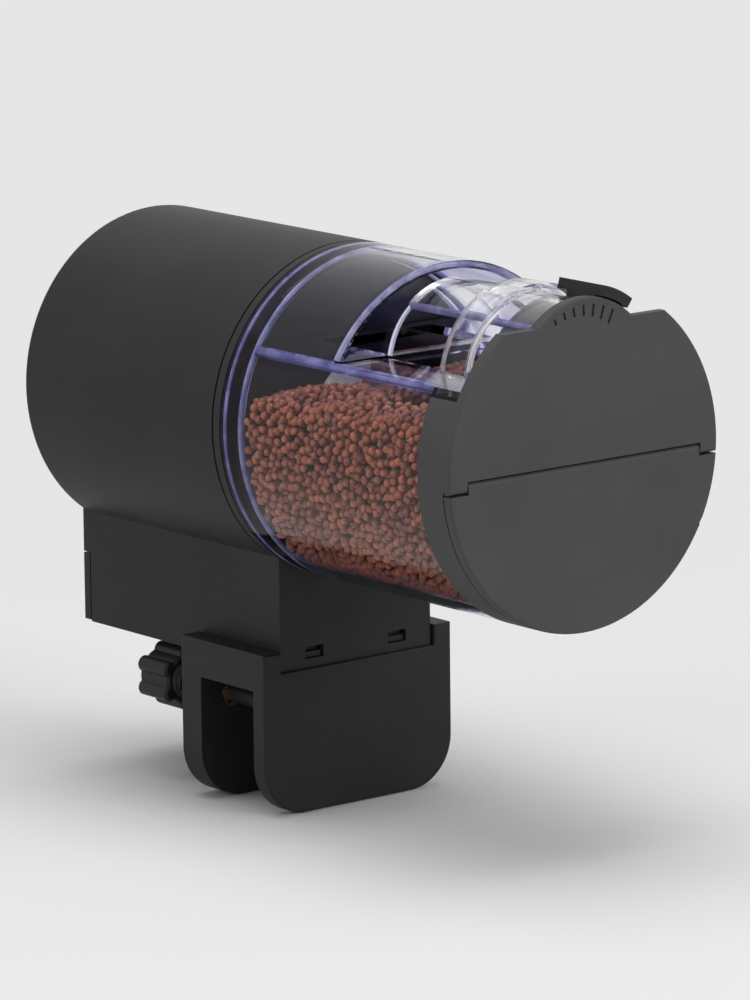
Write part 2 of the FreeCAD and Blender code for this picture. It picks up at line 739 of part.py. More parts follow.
def drive_hub():
    """Stepped shaft that carries the drum, with a flange inside its rear wall."""
    steps = (
        ("flange", "hub_flange", ahead("drum_gap + rear_wall + flange_thickness"), DRUM_BACK),
        ("spigot", "spigot_radius", DRUM_BACK, ahead("drum_gap")),
        ("shaft", "shaft_radius", ahead("drum_gap"), behind("gear_start - part_gap")),
        ("seat", "gear_seat_radius", behind("gear_start - part_gap"), behind("gear_start + gear_width")),
        ("journal", "journal_radius", behind("gear_start + gear_width"),
         behind(f"{GEAR_BACK} + part_gap + cam_thickness + journal_end")))
    return keep("drive_hub", fuse("drive_hub", *[rod(f"hub_{name}", radius, (low, high))
                                                 for name, radius, low, high in steps]))


def hub_bush():
    """Plain bearing in the body's front wall."""
    return keep("hub_bush", tube("hub_bush", "bush_radius", "shaft_radius + running_fit",
                                 (behind(0), behind("bush_length"))))


def position_cam():
    """Disc with one notch that tells the switch when a turn is complete."""
    y = (behind(f"{GEAR_BACK} + part_gap"), behind(f"{GEAR_BACK} + part_gap + cam_thickness"))
    disc = tube("cam_disc", "cam_radius", "journal_radius", y)
    notch = block("cam_notch", ("-cam_radius - 1", "-cam_radius + cam_notch"), y,
                  (up("-notch_width / 2"), up("notch_width / 2")))
    return keep("position_cam", cut("position_cam", disc, notch))


def limit_switch():
    """Small switch on the gear plate, with its nose a running gap away from the cam's rim."""
    tip = "-(cam_radius + part_gap)"
    case = block("switch_case", (f"{tip} - nose_length - switch_width", f"{tip} - nose_length"),
                 (behind(GEAR_BACK), behind(f"{GEAR_BACK} + switch_depth")),
                 (up("-switch_height / 2"), up("switch_height / 2")))
    nose = block("switch_nose", (f"{tip} - nose_length - 1", tip),
                 (behind(f"{GEAR_BACK} + part_gap"), behind(f"{GEAR_BACK} + part_gap + cam_thickness")),
                 (up("-nose_width / 2"), up("nose_width / 2")))
    return keep("limit_switch", fuse("limit_switch", case, nose))


# ---------------------------------------------------------------- cap, fill door and gate
CAP_HINGE = up("-split_drop - part_gap - door_thickness / 2")
CAP_HINGE_Y = ahead(f"{CAP_FRONT} - door_thickness / 2")
CAP_PIN = ("-drum_radius + cap_pin_inset", "drum_radius - cap_pin_inset")


def end_cap():
    """Black cap: upper face with its raised scale, skirt below the shelf, and the gate's bearing."""
    y = (ahead(CAP_FRONT), ahead(CAP_INNER))
    wide = ("-drum_radius - 1", "drum_radius + 1")
    split = up("-split_drop")
    ear_low = up("-split_drop - part_gap - door_thickness")
    ear = ("drum_radius - door_ear", "drum_radius")
    rolls = [pin_along_x(f"cap_ear_roll_{label}", "door_thickness / 2", across, CAP_HINGE_Y, CAP_HINGE)
             for label, across in (("right", ear), ("left", (f"-({ear[1]})", f"-({ear[0]})")))]
    disc = round_end("cap_disc_rounded", rod("cap_disc", "drum_radius", y), y[0], "cap_round")
    face = common("cap_face", disc,
                  fuse("cap_face_area", block("cap_face_band", wide, y, (split, up("chord_height"))),
                       *mirrored_blocks("cap_ear", ear, y, (CAP_HINGE, up("1"))), *rolls))
    bump_disc = round_end("bump_disc_rounded", rod("cap_bump_disc", "bump_radius", y, z=GATE),
                          y[0], "cap_round")
    bump = common("cap_bump", bump_disc,
                  block("cap_bump_half", wide, y, (up("chord_height - bump_overlap"), up("drum_radius"))))
    skirt_y = (ahead(CAP_INNER), ahead("drum_length"))
    skirt = cut(
        "cap_skirt", tube("cap_ring", "drum_radius", "drum_radius - cap_wall", skirt_y),
        block("cap_skirt_top", wide, skirt_y, (up("shelf_height"), up("drum_radius + 1"))),
        block("cap_door_seat", wide, (ahead(CAP_INNER), ahead(f"{CAP_INNER} - part_gap")),
              (up("-drum_radius - 1"), ear_low)))
    bearing = tube("cap_bearing", "gate_inner - running_fit", "boss_inner",
                   (ahead(CAP_INNER), ahead("boss_depth")), z=GATE)
    bearing_low = block("cap_bearing_low", wide, (ahead(CAP_INNER), ahead(f"{CAP_INNER} - part_gap")),
                        (up("-drum_radius"), split))
    bore = pin_along_x("cap_pin_bore", "hinge_pin_radius", CAP_PIN, CAP_HINGE_Y, CAP_HINGE)
    solid = fuse("cap_solid", face, bump, skirt, cut("cap_bearing_trimmed", bearing, bearing_low))
    return keep("end_cap", cut("end_cap", solid, bore, *scale_ticks()))


def scale_ticks():
    """Shallow grooves of growing length that run towards the gate's axis."""
    count = int(size("tick_count"))
    grooves = []
    for number in range(count):
        share = number / (count - 1)
        turn = size("tick_first") + share * (size("tick_last") - size("tick_first"))
        groove = doc.addObject("Part::Box", f"tick_{number}")
        length = f"tick_short + {share:.4f} * (tick_long - tick_short)"
        bind(groove, Length="tick_width", Width="tick_depth + 1", Height=length)
        angle = math.radians(turn)
        groove.Placement = FreeCAD.Placement(FreeCAD.Vector(),
                                             FreeCAD.Rotation(FreeCAD.Vector(0, 1, 0), turn))
        inner = f"(tick_outer - ({length}))"
        sine, cosine = f"{math.sin(angle):.6f}", f"{math.cos(angle):.6f}"
        bind(groove, Placement__Base__x=f"{inner} * {sine} - tick_width / 2 * {cosine}",
             Placement__Base__y=f"{ahead(CAP_FRONT)} - 1",
             Placement__Base__z=f"{GATE} + {inner} * {cosine} + tick_width / 2 * {sine}")
        grooves.append(groove)
    return grooves


def fill_door():
    """Lower half of the cap's face, which swings out and up to fill the drum."""
    y = (ahead(CAP_FRONT), ahead(f"{CAP_FRONT} - door_thickness"))
    wide = ("-drum_radius - 1", "drum_radius + 1")
    shoulder = up("-split_drop - door_thickness - 2 * part_gap")
    span = "drum_radius - door_ear - part_gap"
    disc = round_end("door_disc_rounded", rod("door_disc", "drum_radius", y), y[0], "cap_round")
    half = common("door_half", disc,
                  block("door_half_area", wide, y, (up("-drum_radius - 1"), shoulder)))
    head = block("door_head", (f"-({span})", span), y, (up("-drum_radius / 2"), CAP_HINGE))
    roll = pin_along_x("door_roll", "door_thickness / 2", (f"-({span})", span), CAP_HINGE_Y, CAP_HINGE)
    bore = pin_along_x("door_bore", "hinge_pin_radius + running_fit", wide, CAP_HINGE_Y, CAP_HINGE)
    keep("fill_door", cut("fill_door", fuse("door_solid", half, head, roll), bore))
    keep("fill_door_pin", pin_along_x("fill_door_pin", "hinge_pin_radius", CAP_PIN, CAP_HINGE_Y, CAP_HINGE))


def gate_slice(name, outer, inner, y, start, end):
    """Slice of a tube about the gate's axis between two angles."""
    sweep = end - start
    return cut(name, rod(f"{name}_outside", outer, y, z=GATE, start=start, sweep=sweep),
               rod(f"{name}_inside", inner, y, z=GATE))


def portion_gate():
    """Clear curved gate on its ring, and the black lever that turns it."""
    front = ahead(f"{CAP_INNER} - part_gap")
    start = size("gate_from")
    end = size("gate_to")
    plate = gate_slice("gate_plate", "gate_outer", "gate_inner",
                       (front, ahead("bulkhead_place + bulkhead_thickness + part_gap")), start, end)
    ring = tube("gate_ring", "gate_outer", "gate_inner", (front, ahead("ring_depth")), z=GATE)
    keep("gate_shell", fuse("gate_shell", plate, ring))
    begin = size("lever_from")
    finish = size("lever_to")
    tab = gate_slice("lever_tab", "lever_outer", "lever_inner", (ahead(CAP_FRONT), ahead("lever_start")),
                     begin, finish)
    foot = gate_slice("lever_foot", "lever_inner + foot_overlap", "gate_outer", (front, ahead("ring_depth")),
                      begin, finish)
    keep("gate_lever", fuse("gate_lever", tab, foot))


# ---------------------------------------------------------------- gear train
def idler_place():
    """Formulas for the idler's axis."""
    return on_circle("gear_module * (drum_teeth + idler_teeth) / 2", IDLER_ANGLE)


def pinion_turn():
    """Direction from the idler's axis to the pinion's: one of the idler's own teeth."""
    pitch = 360 / size("idler_teeth")
    return IDLER_ANGLE + 180 + pitch / 2 + 4 * pitch


def pinion_place():
    """Formulas for the pinion's axis."""
    turn = math.radians(pinion_turn())
    idler = idler_place()
    reach = "gear_module * (idler_teeth + pinion_teeth) / 2"
    return {"x": f"{idler['x']} + {reach} * {math.sin(turn):.6f}",
            "z": f"{idler['z']} + {reach} * {math.cos(turn):.6f}"}


def point_of(radius, angle):
    """Point in the XZ plane at an angle from +Z towards +X."""
    return FreeCAD.Vector(radius * math.sin(angle), 0, radius * math.cos(angle))


def gear_face(teeth, first_tooth):
    """Flat involute gear outline about Y, with the middle of one tooth at first_tooth degrees."""
    module = size("gear_module")
    pitch_radius = module * teeth / 2
    base_radius = pitch_radius * math.cos(math.radians(size("pressure_angle")))
    tip_radius = pitch_radius + module
    root_radius = pitch_radius - 1.25 * module

    def roll(radius):
        """Involute angle at a radius on or outside the base circle."""
        slope = math.acos(min(1.0, base_radius / radius))
        return math.tan(slope) - slope

    half_tooth = (math.pi / 2 - size("backlash") / module) / teeth + roll(pitch_radius)
    start_radius = max(base_radius, root_radius)
    flank = [start_radius + (tip_radius - start_radius) * step / 4 for step in range(5)]
    edges = []
    corner = None
    for tooth in range(int(teeth)):
        middle = math.radians(first_tooth) + 2 * math.pi * tooth / teeth
        rising = [point_of(r, middle - half_tooth + roll(r)) for r in flank]
        falling = [point_of(r, middle + half_tooth - roll(r)) for r in reversed(flank)]
        foot_in = point_of(root_radius, middle - half_tooth)
        foot_out = point_of(root_radius, middle + half_tooth)
        if corner is None:
            first_corner = foot_in
        else:
            edges.append(Part.LineSegment(corner, foot_in).toShape())
        outline = [foot_in, *rising, *falling, foot_out]
        for one, other in zip(outline, outline[1:]):
            if one.distanceToPoint(other) > 1e-4:
                edges.append(Part.LineSegment(one, other).toShape())
        corner = foot_out
    edges.append(Part.LineSegment(corner, first_corner).toShape())
    return Part.Face(Part.Wire(edges))


def gear(name, teeth, first_tooth, bore):
    """Spur gear with a round bore, centred on the document's Y axis."""
    width = size("gear_width")
    disc = gear_face(teeth, first_tooth).extrude(FreeCAD.Vector(0, width, 0))
    hole = Part.makeCylinder(bore, width, FreeCAD.Vector(), FreeCAD.Vector(0, 1, 0))
    wheel = doc.addObject("Part::Feature", name)
    wheel.Shape = disc.cut(hole)
    return wheel


def place_gear(wheel, x, z):
    """Move a gear to its axis."""
    bind(wheel, Placement__Base__x=x, Placement__Base__y=behind("gear_start"), Placement__Base__z=z)


def gear_train():
    """Output gear on the hub, idler on its axle and pinion on the motor's shaft, all in mesh."""
    idler_pitch = 360 / size("idler_teeth")
    pinion_pitch = 360 / size("pinion_teeth")
    output = gear("output_gear", size("drum_teeth"), IDLER_ANGLE, size("gear_seat_radius"))
    place_gear(output, "0", AXIS)
    keep("output_gear", output)
    idler = gear("idler_gear", size("idler_teeth"), IDLER_ANGLE + 180 + idler_pitch / 2,
                 size("axle_radius") + size("running_fit"))
    place_gear(idler, **idler_place())
    keep("idler_gear", idler)
    wheel = gear("pinion_wheel", size("pinion_teeth"), pinion_turn() + 180 + pinion_pitch / 2,
                 size("motor_shaft_radius"))
    place_gear(wheel, **pinion_place())
    shaft = rod("pinion_shaft", "motor_shaft_radius",
                (behind("gear_start"), behind(f"{GEAR_BACK} + motor_bearing_depth - part_gap")),
                **pinion_place())
    keep("motor_pinion", fuse("motor_pinion", wheel, shaft))


def drive_frame():
    """Gear plate with its screws, the idler's axle and the motor."""
    y = (behind("plate_place"), behind(GEAR_BACK))
    holes = [rod("plate_hub_hole", "journal_radius + running_fit", y),
             rod("plate_axle_hole", "axle_radius", y, **idler_place()),
             rod("plate_motor_hole", "motor_shaft_radius + motor_hole_gap", y, **pinion_place())]
    screws = []
    for number, angle in enumerate(POST_ANGLES):
        spot = on_circle("post_circle", angle)
        holes.append(rod(f"plate_hole_{number}", "plate_screw_radius", y, **spot))
        head = rod(f"plate_screw_head_{number}", "screw_head_radius",
                   (behind(GEAR_BACK), behind(f"{GEAR_BACK} + screw_head_height")), **spot)
        shank = rod(f"plate_screw_shank_{number}", "plate_screw_radius",
                    (behind("shell_wall + post_floor + part_gap"), behind(f"{GEAR_BACK} + 0.5")), **spot)
        screws.append(fuse(f"plate_screw_{number}", head, shank))
    keep("gear_plate", cut("gear_plate", rod("gear_plate_disc", "gear_plate_radius", y), *holes))
    keep("gear_plate_screws", group("gear_plate_screws", *screws))
    keep("idler_axle", rod("idler_axle", "axle_radius", (behind("axle_seat"), behind(GEAR_BACK)),
                           **idler_place()))
    can = rod("motor_can", "motor_radius", (behind(GEAR_BACK), behind(f"{GEAR_BACK} + motor_length")),
              **pinion_place())
    bearing = rod("motor_bearing", "motor_shaft_radius + running_fit",
                  (behind(GEAR_BACK), behind(f"{GEAR_BACK} + motor_bearing_depth")), **pinion_place())
    keep("drive_motor", cut("drive_motor", can, bearing))


# ---------------------------------------------------------------- control panel
LCD_Z = (up("lcd_middle - lcd_height / 2"), up("lcd_middle + lcd_height / 2"))
BUTTON_Z = up("-button_drop")
BOARD_FACE = f"{COVER_BACK} - board_depth"


def button_x(number):
    """Place of a button along the row."""
    return f"({number} - 1.5) * button_pitch"


def rear_cover():
    """Round panel recessed in the barrel's rear end, with its screen and buttons' openings."""
    y = (behind(COVER_BACK), behind(f"{COVER_BACK} + cover_thickness"))
    disc = rod("cover_disc", f"{INNER_RADIUS} - panel_fit", y)
    posts = [rod(f"board_post_{sx}_{sz}", "board_post_radius", (behind(BOARD_FACE), behind(COVER_BACK)),
                 x=f"{sx} * board_post_x", z=up(f"{sz} * board_post_z")) for sx in (-1, 1) for sz in (-1, 1)]
    openings = [block("lcd_opening", ("-lcd_width / 2", "lcd_width / 2"), y, LCD_Z)]
    openings += [rod(f"button_hole_{number}", "button_radius + button_gap", y, x=button_x(number), z=BUTTON_Z)
                 for number in range(len(BUTTONS))]
    screws = []
    for number, angle in enumerate(COVER_ANGLES):
        spot = on_circle(COVER_CIRCLE, angle)
        openings.append(rod(f"cover_hole_{number}", "plate_screw_radius", y, **spot))
        sink = (behind(f"{COVER_BACK} + cover_thickness / 2"), behind(f"{COVER_BACK} + cover_thickness"))
        openings.append(rod(f"cover_sink_{number}", "screw_head_radius", sink, **spot))
        shank = rod(f"cover_screw_shank_{number}", "plate_screw_radius",
                    (behind(f"{COVER_BACK} - cover_screw_length + 1"), behind(f"{COVER_BACK} + 1.2")), **spot)
        screws.append(fuse(f"cover_screw_{number}", rod(f"cover_screw_head_{number}", "screw_head_radius",
                                                        sink, **spot), shank))
    keep("rear_cover", cut("rear_cover", fuse("cover_solid", disc, *posts), *openings))
    keep("rear_cover_screws", group("rear_cover_screws", *screws))


def screen():
    """Clear window flush with the panel, and the display behind it."""
    keep("lcd_window", block("lcd_window", ("-lcd_width / 2", "lcd_width / 2"),
                             (behind(f"{COVER_BACK} + cover_thickness - lcd_pane"),
                              behind(f"{COVER_BACK} + cover_thickness")), LCD_Z))
    low, high = LCD_Z
    keep("lcd_display", fuse("lcd_display",
                             block("lcd_frame", ("-lcd_width / 2 - lcd_border", "lcd_width / 2 + lcd_border"),
                                   (behind(BOARD_FACE), behind(COVER_BACK)),
                                   (f"{low} - lcd_border", f"{high} + lcd_border")),
                             block("lcd_glass", ("-lcd_width / 2 + panel_fit", "lcd_width / 2 - panel_fit"),
                                   (behind(COVER_BACK), behind(f"{COVER_BACK} + cover_thickness - lcd_pane")),
                                   (f"{low} + panel_fit", f"{high} - panel_fit"))))


def control_board():
    """Circuit board on the cover's posts, with its chip, sounder and push switches."""
    y = (behind(f"{BOARD_FACE} - board_thickness"), behind(BOARD_FACE))
    keep("control_board", rod("control_board", "board_radius", y))
    keep("control_chip", block("control_chip", ("-chip_side / 2", "chip_side / 2"),
                               (f"{y[0]} - chip_height", y[0]), (up("-chip_side / 2"), up("chip_side / 2"))))
    keep("buzzer", rod("buzzer", "buzzer_radius", (f"{y[0]} - buzzer_height", y[0]), x="buzzer_x",
                       z=up("buzzer_rise")))
    tops = f"{COVER_BACK} - button_lip - 3 * part_gap - button_travel"
    switches = []
    for number in range(len(BUTTONS)):
        x = button_x(number)
        switches.append(block(f"switch_{number}", (f"{x} - key_side / 2", f"{x} + key_side / 2"),
                              (behind(BOARD_FACE), behind(tops)),
                              (f"{BUTTON_Z} - key_side / 2", f"{BUTTON_Z} + key_side / 2")))
    keep("push_switches", group("push_switches", *switches))


def panel_buttons():
    """Push buttons, each held in by a lip behind the panel."""
    for number, name in enumerate(BUTTONS):
        body = doc.addObject("PartDesign::Body", name)
        stem = sketch(body, "XZ_Plane", f"{name}_stem", f"-({behind('body_length')})")
        draw_circle(stem, button_x(number), BUTTON_Z, "button_radius")
        pad(body, f"{name}_cap", stem, Length="cover_recess + cover_thickness + part_gap")
        lip = sketch(body, "XZ_Plane", f"{name}_lip", f"-({behind(COVER_BACK)} - part_gap)")
        draw_circle(lip, button_x(number), BUTTON_Z, "button_radius + button_gap + button_lip")
        body.Tip = pad(body, f"{name}_flange", lip, Length="button_lip")
        keep(name, body)


# ---------------------------------------------------------------- build and write
def check():
    """Stop if any object failed or any sub-part has no sound shape."""
    doc.recompute()
    for thing in doc.Objects:
        if "Invalid" in thing.State or "Error" in thing.State:
            raise RuntimeError(f"{thing.Name} failed: {thing.State}")
    for node in nodes:
        if node.Shape.isNull() or not node.Shape.isValid():
            raise RuntimeError(f"{node.Label} has no sound shape")


def write():
    """Write each sub-part to its own file."""
    os.makedirs("parts", exist_ok=True)
    for node in nodes:
        node.Shape.exportStep(f"parts/{node.Label}.step")
        print(f"{node.Label:22s} {len(node.Shape.Solids)} solid(s) {node.Shape.Volume:10.1f} mm3")


def main():
    """Build the feeder from the sheet."""
    fill_sheet()
    body_shell()
    clamp_bracket()
    clamp_inserts()
    for label, side in (("left", -1), ("right", 1)):
        clamp_pad(label, side)
        thumb_screw(label, side)
    battery_cells()
    battery_contacts()
    battery_door()
    keep("drum_shell", drum_wall("drum_shell"))
    drum_partition()
    drive_hub()
    hub_bush()
    position_cam()
    limit_switch()
    end_cap()
    fill_door()
    portion_gate()
    gear_train()
    drive_frame()
    rear_cover()
    screen()
    control_board()
    panel_buttons()
    check()
    write()


main()
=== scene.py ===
"""Looks of the clamp-on drum feeder: finishes, food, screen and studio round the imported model."""
import json
import math
import random

import bmesh
import bpy
from mathutils import Matrix, Vector


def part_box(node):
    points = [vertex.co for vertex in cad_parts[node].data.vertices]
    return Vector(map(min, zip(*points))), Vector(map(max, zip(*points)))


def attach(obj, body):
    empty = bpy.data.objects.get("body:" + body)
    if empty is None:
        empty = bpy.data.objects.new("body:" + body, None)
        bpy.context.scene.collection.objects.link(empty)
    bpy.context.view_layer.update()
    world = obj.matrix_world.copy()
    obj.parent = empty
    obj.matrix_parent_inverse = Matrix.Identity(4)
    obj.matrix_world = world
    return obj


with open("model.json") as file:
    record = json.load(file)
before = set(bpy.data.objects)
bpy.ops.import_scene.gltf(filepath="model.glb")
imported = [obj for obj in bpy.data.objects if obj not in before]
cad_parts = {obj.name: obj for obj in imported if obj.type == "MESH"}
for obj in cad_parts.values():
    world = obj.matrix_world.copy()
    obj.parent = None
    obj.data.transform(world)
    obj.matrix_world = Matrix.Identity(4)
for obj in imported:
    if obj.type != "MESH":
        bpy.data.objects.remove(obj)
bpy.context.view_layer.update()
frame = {"nodes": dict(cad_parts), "record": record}

MM = 0.001
NODES = frame["nodes"]


# ---------------------------------------------------------------- places, all from the frame
def low(node):
    """Lowest corner of a node."""
    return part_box(node)[0]


def high(node):
    """Highest corner of a node."""
    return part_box(node)[1]


DRUM_RADIUS = (high("drum_shell").x - low("drum_shell").x) / 2
AXIS_Z = low("drum_shell").z + DRUM_RADIUS
DRUM_BACK = high("drum_shell").y
CAP_FRONT = low("end_cap").y
CAP_EDGE = low("drum_shell").y
SHELF_TOP = 0.0168
SHELF_UNDER = 0.0150
CLEAR_WALL = 0.0016
RIM_DEPTH = 0.0050
GATE_Z = (high("gate_shell").z + low("gate_shell").z) / 2
TUBE_RADIUS = 0.0186
BULKHEAD_BACK = -0.0405
BULKHEAD_FRONT = -0.0425
DOORWAY_RADIUS = 0.0151
TUBE_INNER = 0.0170
HOOP_BACK = -0.0615
HOOP_FRONT = -0.0690
SHELF_EDGE_X = 0.0276
GATE_EDGE = -40.0
DIGIT_DEPTH = 0.00006
PELLET_GAP = 0.00160
BATCH = 50
TRIES_PER_SPOT = 14
END_TRIES = 9000
TUBE_CLEARANCE = 0.0013
ARCH_MARGIN = 0.0003
BEAD_SIDES = 10
RING_STEPS = 120
DUST_TONE = (0.30, 0.29, 0.28, 1)
PAPER = (0.79, 0.79, 0.795, 1)


# ---------------------------------------------------------------- shader groups
def new_group(name, inputs, outputs):
    """Empty shader group with the sockets named; each input is (name, type, default)."""
    tree = bpy.data.node_groups.new(name, "ShaderNodeTree")
    for label, kind, default in inputs:
        socket = tree.interface.new_socket(label, in_out="INPUT", socket_type=kind)
        if default is not None:
            socket.default_value = default
    for label, kind in outputs:
        tree.interface.new_socket(label, in_out="OUTPUT", socket_type=kind)
    return tree, tree.nodes.new("NodeGroupInput"), tree.nodes.new("NodeGroupOutput")


def noise(tree, vector, scale, detail=3.0, rough=0.55):
    """Noise node on a vector; scale is a number or a socket."""
    node = tree.nodes.new("ShaderNodeTexNoise")
    node.inputs["Detail"].default_value = detail
    node.inputs["Roughness"].default_value = rough
    tree.links.new(vector, node.inputs["Vector"])
    feed(tree, scale, node.inputs["Scale"])
    return node.outputs["Fac"]


def feed(tree, value, socket):
    """Link a socket, or set a plain value."""
    if isinstance(value, bpy.types.NodeSocket):
        tree.links.new(value, socket)
    else:
        socket.default_value = value


def math_node(tree, operation, one, other=0.0):
    """Math node of two values."""
    node = tree.nodes.new("ShaderNodeMath")
    node.operation = operation
    feed(tree, one, node.inputs[0])
    feed(tree, other, node.inputs[1])
    return node.outputs[0]


def ramp(tree, value, start, end, low_value=0.0, high_value=1.0, smooth=True):
    """Map Range node, clamped."""
    node = tree.nodes.new("ShaderNodeMapRange")
    node.interpolation_type = "SMOOTHSTEP" if smooth else "LINEAR"
    feed(tree, value, node.inputs["Value"])
    limits = {"From Min": start, "From Max": end, "To Min": low_value, "To Max": high_value}
    for label, number in limits.items():
        feed(tree, number, node.inputs[label])
    return node.outputs["Result"]


def mix_colour(tree, share, one, other):
    """Mix node of two colours."""
    node = tree.nodes.new("ShaderNodeMix")
    node.data_type = "RGBA"
    feed(tree, share, node.inputs["Factor"])
    feed(tree, one, node.inputs["A"])
    feed(tree, other, node.inputs["B"])
    return node.outputs["Result"]


def mould_grain_group():
    """Spark-eroded mould texture: fine height, a little gloss variation and slow tone drift."""
    tree, entry, leave = new_group(
        "mould_grain",
        [("Vector", "NodeSocketVector", None), ("Scale", "NodeSocketFloat", 3000.0),
         ("Roughness", "NodeSocketFloat", 0.5), ("Spread", "NodeSocketFloat", 0.08)],
        [("Height", "NodeSocketFloat"), ("Roughness", "NodeSocketFloat"), ("Tone", "NodeSocketFloat")])
    vector = entry.outputs["Vector"]
    fine = noise(tree, vector, entry.outputs["Scale"], 2.0)
    coarse = noise(tree, vector, 240.0, 3.0)
    drift = noise(tree, vector, 45.0, 4.0)
    height = math_node(tree, "ADD", fine, math_node(tree, "MULTIPLY", coarse, 0.35))
    swing = math_node(tree, "MULTIPLY", math_node(tree, "SUBTRACT", drift, 0.5), entry.outputs["Spread"])
    tree.links.new(height, leave.inputs["Height"])
    tree.links.new(math_node(tree, "ADD", entry.outputs["Roughness"], swing), leave.inputs["Roughness"])
    tree.links.new(ramp(tree, drift, 0.3, 0.7), leave.inputs["Tone"])
    return tree


def wear_group():
    """Dust film: a mask of slow blotches, broken up into specks."""
    tree, entry, leave = new_group(
        "dust_film",
        [("Vector", "NodeSocketVector", None), ("Amount", "NodeSocketFloat", 0.2)],
        [("Mask", "NodeSocketFloat")])
    blotch = noise(tree, entry.outputs["Vector"], 90.0, 6.0, 0.7)
    specks = noise(tree, entry.outputs["Vector"], 900.0, 2.0, 0.6)
    both = math_node(tree, "MULTIPLY", ramp(tree, blotch, 0.45, 0.75), ramp(tree, specks, 0.5, 0.75))
    tree.links.new(math_node(tree, "MULTIPLY", both, entry.outputs["Amount"]), leave.inputs["Mask"])
    return tree


GRAIN = mould_grain_group()
DUST = wear_group()


def new_material(name):
    """Material with its Principled shader and object coordinates at hand."""
    material = bpy.data.materials.new(name)
    material.use_nodes = True
    tree = material.node_tree
    shader = tree.nodes["Principled BSDF"]
    place = tree.nodes.new("ShaderNodeTexCoord").outputs["Object"]
    return material, tree, shader, place


def bump(tree, shader, height, strength, distance):
    """Bump from a height into the shader's normal."""
    node = tree.nodes.new("ShaderNodeBump")
    node.inputs["Strength"].default_value = strength
    node.inputs["Distance"].default_value = distance
    tree.links.new(height, node.inputs["Height"])
    tree.links.new(node.outputs["Normal"], shader.inputs["Normal"])


def put_group(tree, group, place, **values):
    """Place a shader group on the object's coordinates."""
    node = tree.nodes.new("ShaderNodeGroup")
    node.node_tree = group
    tree.links.new(place, node.inputs["Vector"])
    for label, value in values.items():
        node.inputs[label].default_value = value
    return node


# ---------------------------------------------------------------- finishes
def moulded_plastic(name, dark, pale, rough, grain=2600.0, relief=0.25, dust=0.04, specular=0.22):
    """Opaque moulded plastic: two close tones, eroded grain and a thin film of dust."""
    material, tree, shader, place = new_material(name)
    grained = put_group(tree, GRAIN, place, Scale=grain, Roughness=rough)
    film = put_group(tree, DUST, place, Amount=dust)
    tone = mix_colour(tree, grained.outputs["Tone"], (*dark, 1), (*pale, 1))
    dusty = mix_colour(tree, film.outputs["Mask"], tone, DUST_TONE)
    tree.links.new(dusty, shader.inputs["Base Color"])
    tree.links.new(grained.outputs["Roughness"], shader.inputs["Roughness"])
    shader.inputs["Specular IOR Level"].default_value = specular
    bump(tree, shader, grained.outputs["Height"], relief, 0.00006)
    return material


def split(tree, place):
    """X, Y and Z of a place."""
    node = tree.nodes.new("ShaderNodeSeparateXYZ")
    tree.links.new(place, node.inputs[0])
    return node.outputs


def clear_plastic(name, clear, painted_edge_colour, where, ior=1.3):
    """Clear styrene with painted edge light: the base colour turns from clear to a violet painted-light
    colour where a mask built by `where` says so.
    """
    material, tree, shader, place = new_material(name)
    mask = where(tree, *split(tree, place))
    # painted edge light: the base colour turns violet where the mask marks edges that light up
    tree.links.new(mix_colour(tree, mask, (*clear, 1), (*painted_edge_colour, 1)), shader.inputs["Base Color"])
    shader.inputs["Transmission Weight"].default_value = 1.0
    shader.inputs["IOR"].default_value = ior
    smear = noise(tree, place, 130.0, 5.0, 0.65)
    tree.links.new(ramp(tree, smear, 0.4, 0.75, 0.0, 0.03), shader.inputs["Roughness"])
    bump(tree, shader, noise(tree, place, 160.0, 2.0), 0.06, 0.0003)
    return material


def band(tree, value, start, end, soft):
    """One between two values, fading over a soft margin outside them."""
    rise = ramp(tree, value, start - soft, start)
    fall = ramp(tree, value, end, end + soft, 1.0, 0.0)
    return math_node(tree, "MULTIPLY", rise, fall)


def shell_painted_edge_light(tree, x, y, z):
    """Painted violet edge light on the drum's wall: a tint on its thick rear rim, the cut edges and the
    lowest part, standing in for the violet light seen there.
    """
    rim = ramp(tree, y, DRUM_BACK - RIM_DEPTH - 0.0012, DRUM_BACK - RIM_DEPTH)
    bottom = ramp(tree, z, AXIS_Z - 0.020, AXIS_Z - 0.031)
    edge = band(tree, z, AXIS_Z + SHELF_UNDER - 0.0005, AXIS_Z + SHELF_TOP + 0.0005, 0.0004)
    arch = band(tree, y, BULKHEAD_FRONT - ARCH_MARGIN, BULKHEAD_BACK, ARCH_MARGIN)
    roof = math_node(tree, "MULTIPLY", arch, ramp(tree, z, AXIS_Z + SHELF_TOP, AXIS_Z + SHELF_TOP + 0.001))
    most = math_node(tree, "MAXIMUM", math_node(tree, "MAXIMUM", rim, edge), roof)
    return math_node(tree, "MAXIMUM", most, math_node(tree, "MULTIPLY", bottom, 0.8))


def partition_painted_edge_light(tree, x, y, z):
    """Painted violet edge light on the partition: a tint on the shelf's long edges and the bulkhead's arch,
    standing in for the violet light seen there.
    """
    reach = math_node(tree, "ABSOLUTE", x)
    slab = band(tree, z, AXIS_Z + SHELF_UNDER - 0.0003, AXIS_Z + SHELF_TOP + 0.0002, 0.0003)
    side = math_node(tree, "MULTIPLY", slab, ramp(tree, reach, 0.022, 0.027))
    arch = band(tree, y, BULKHEAD_FRONT - ARCH_MARGIN, BULKHEAD_BACK + ARCH_MARGIN, ARCH_MARGIN)
    faint_slab = math_node(tree, "MULTIPLY", slab, 0.35)
    faint_arch = math_node(tree, "MULTIPLY", arch, 0.7)
    return math_node(tree, "MAXIMUM", math_node(tree, "MAXIMUM", side, faint_slab), faint_arch)


def gate_painted_edge_light(tree, x, y, z):
    """Painted violet edge light on the gate: a tint on its long free edge, standing in for the violet light
    seen there.
    """
    return math_node(tree, "MULTIPLY", ramp(tree, x, -0.0085, -0.0102), ramp(tree, z, GATE_Z, GATE_Z + 0.006))


